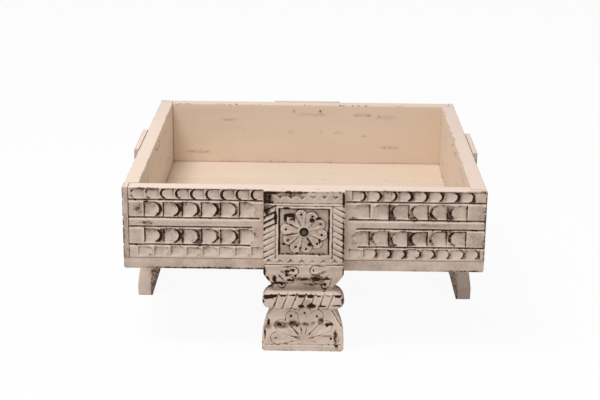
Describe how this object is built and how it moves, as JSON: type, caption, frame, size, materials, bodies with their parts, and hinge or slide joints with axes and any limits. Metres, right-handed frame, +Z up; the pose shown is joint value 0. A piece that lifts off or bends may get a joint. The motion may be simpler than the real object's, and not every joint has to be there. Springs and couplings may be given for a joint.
{
  "type": "bajot low table",
  "caption": "Low square tray table: a shallow box of gouge-carved boards on a plank base, carried by a carved plank leg with a rosette at the middle of each side.",
  "frame": {"origin": "middle of the table's plan, on the surface that its feet stand on", "axes": "+Z up, +X to the right and -Y towards the viewer, as the picture shows the table"},
  "size_m": [0.4686, 0.4686, 0.2133],
  "materials": {
    "painted_wood": "worn cream paint over dark brown wood",
    "painted_iron": "forged iron under worn cream paint",
    "black_iron": "blackened forged iron, worn smooth"
  },
  "bodies": {
    "root": {"back_boss_nail": "black_iron", "back_corner_nail_1": "painted_iron", "back_corner_nail_2": "painted_iron", "back_corner_nail_3": "painted_iron", "back_leg": "painted_wood", "back_leg_nail_1": "painted_iron", "back_leg_nail_2": "painted_iron", "back_plank": "painted_wood", "back_plank_nail_1": "painted_iron", "back_plank_nail_2": "painted_iron", "back_plank_nail_3": "painted_iron", "back_plank_nail_4": "painted_iron", "back_plank_nail_5": "painted_iron", "back_plank_nail_6": "painted_iron", "back_wall": "painted_wood", "front_boss_nail": "black_iron", "front_corner_nail_1": "painted_iron", "front_corner_nail_2": "painted_iron", "front_corner_nail_3": "painted_iron", "front_leg": "painted_wood", "front_leg_nail_1": "painted_iron", "front_leg_nail_2": "painted_iron", "front_plank": "painted_wood", "front_plank_nail_1": "painted_iron", "front_plank_nail_2": "painted_iron", "front_plank_nail_3": "painted_iron", "front_plank_nail_4": "painted_iron", "front_plank_nail_5": "painted_iron", "front_plank_nail_6": "painted_iron", "front_wall": "painted_wood", "left_boss_nail": "black_iron", "left_corner_nail_1": "painted_iron", "left_corner_nail_2": "painted_iron", "left_corner_nail_3": "painted_iron", "left_leg": "painted_wood", "left_leg_nail_1": "painted_iron", "left_leg_nail_2": "painted_iron", "left_wall": "painted_wood", "middle_plank": "painted_wood", "middle_plank_nail_1": "painted_iron", "middle_plank_nail_2": "painted_iron", "middle_plank_nail_3": "painted_iron", "middle_plank_nail_4": "painted_iron", "right_boss_nail": "black_iron", "right_corner_nail_1": "painted_iron", "right_corner_nail_2": "painted_iron", "right_corner_nail_3": "painted_iron", "right_leg": "painted_wood", "right_leg_nail_1": "painted_iron", "right_leg_nail_2": "painted_iron", "right_wall": "painted_wood"}
  },
  "joints": []
}
